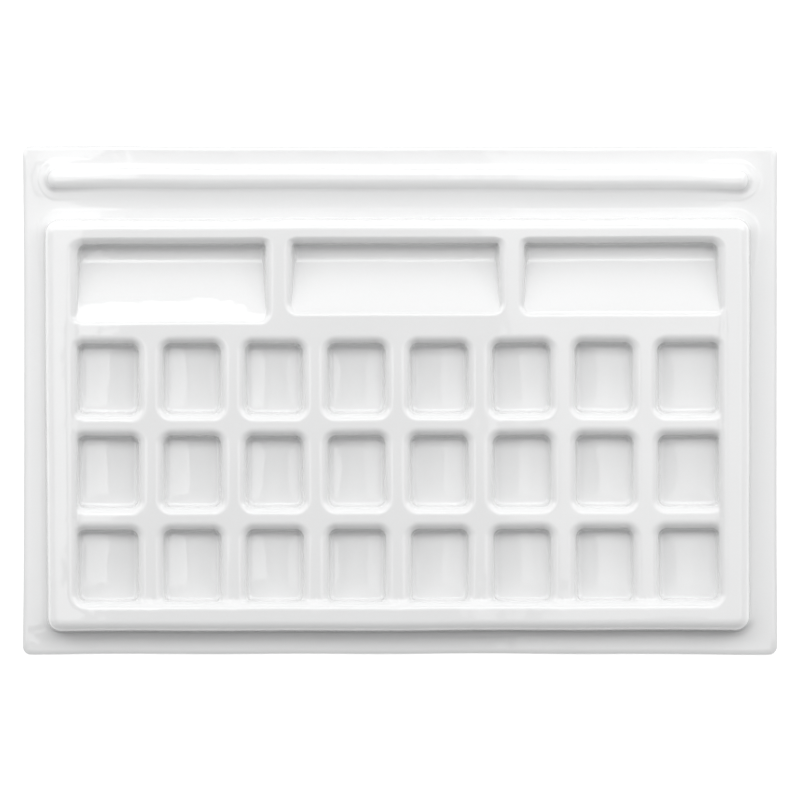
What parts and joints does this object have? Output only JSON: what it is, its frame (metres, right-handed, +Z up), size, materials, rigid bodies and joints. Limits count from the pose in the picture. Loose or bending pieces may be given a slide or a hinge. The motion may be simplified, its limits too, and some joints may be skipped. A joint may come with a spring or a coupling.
{
  "type": "paint palette",
  "caption": "Flat rectangular palette formed from one glossy sheet, with a grid of small paint wells, sloping mixing wells, a raised rim and a trough for a brush.",
  "frame": {"origin": "middle of the flange's outline, on the plane that the flange rests on", "axes": "+X along the long side, +Y towards the brush ridge at the back, +Z up, out of the wells"},
  "size_m": [0.34, 0.229, 0.0135],
  "materials": {
    "tray_plastic": "gloss white, moulded"
  },
  "bodies": {
    "root": {"palette_tray": "tray_plastic"}
  },
  "joints": []
}
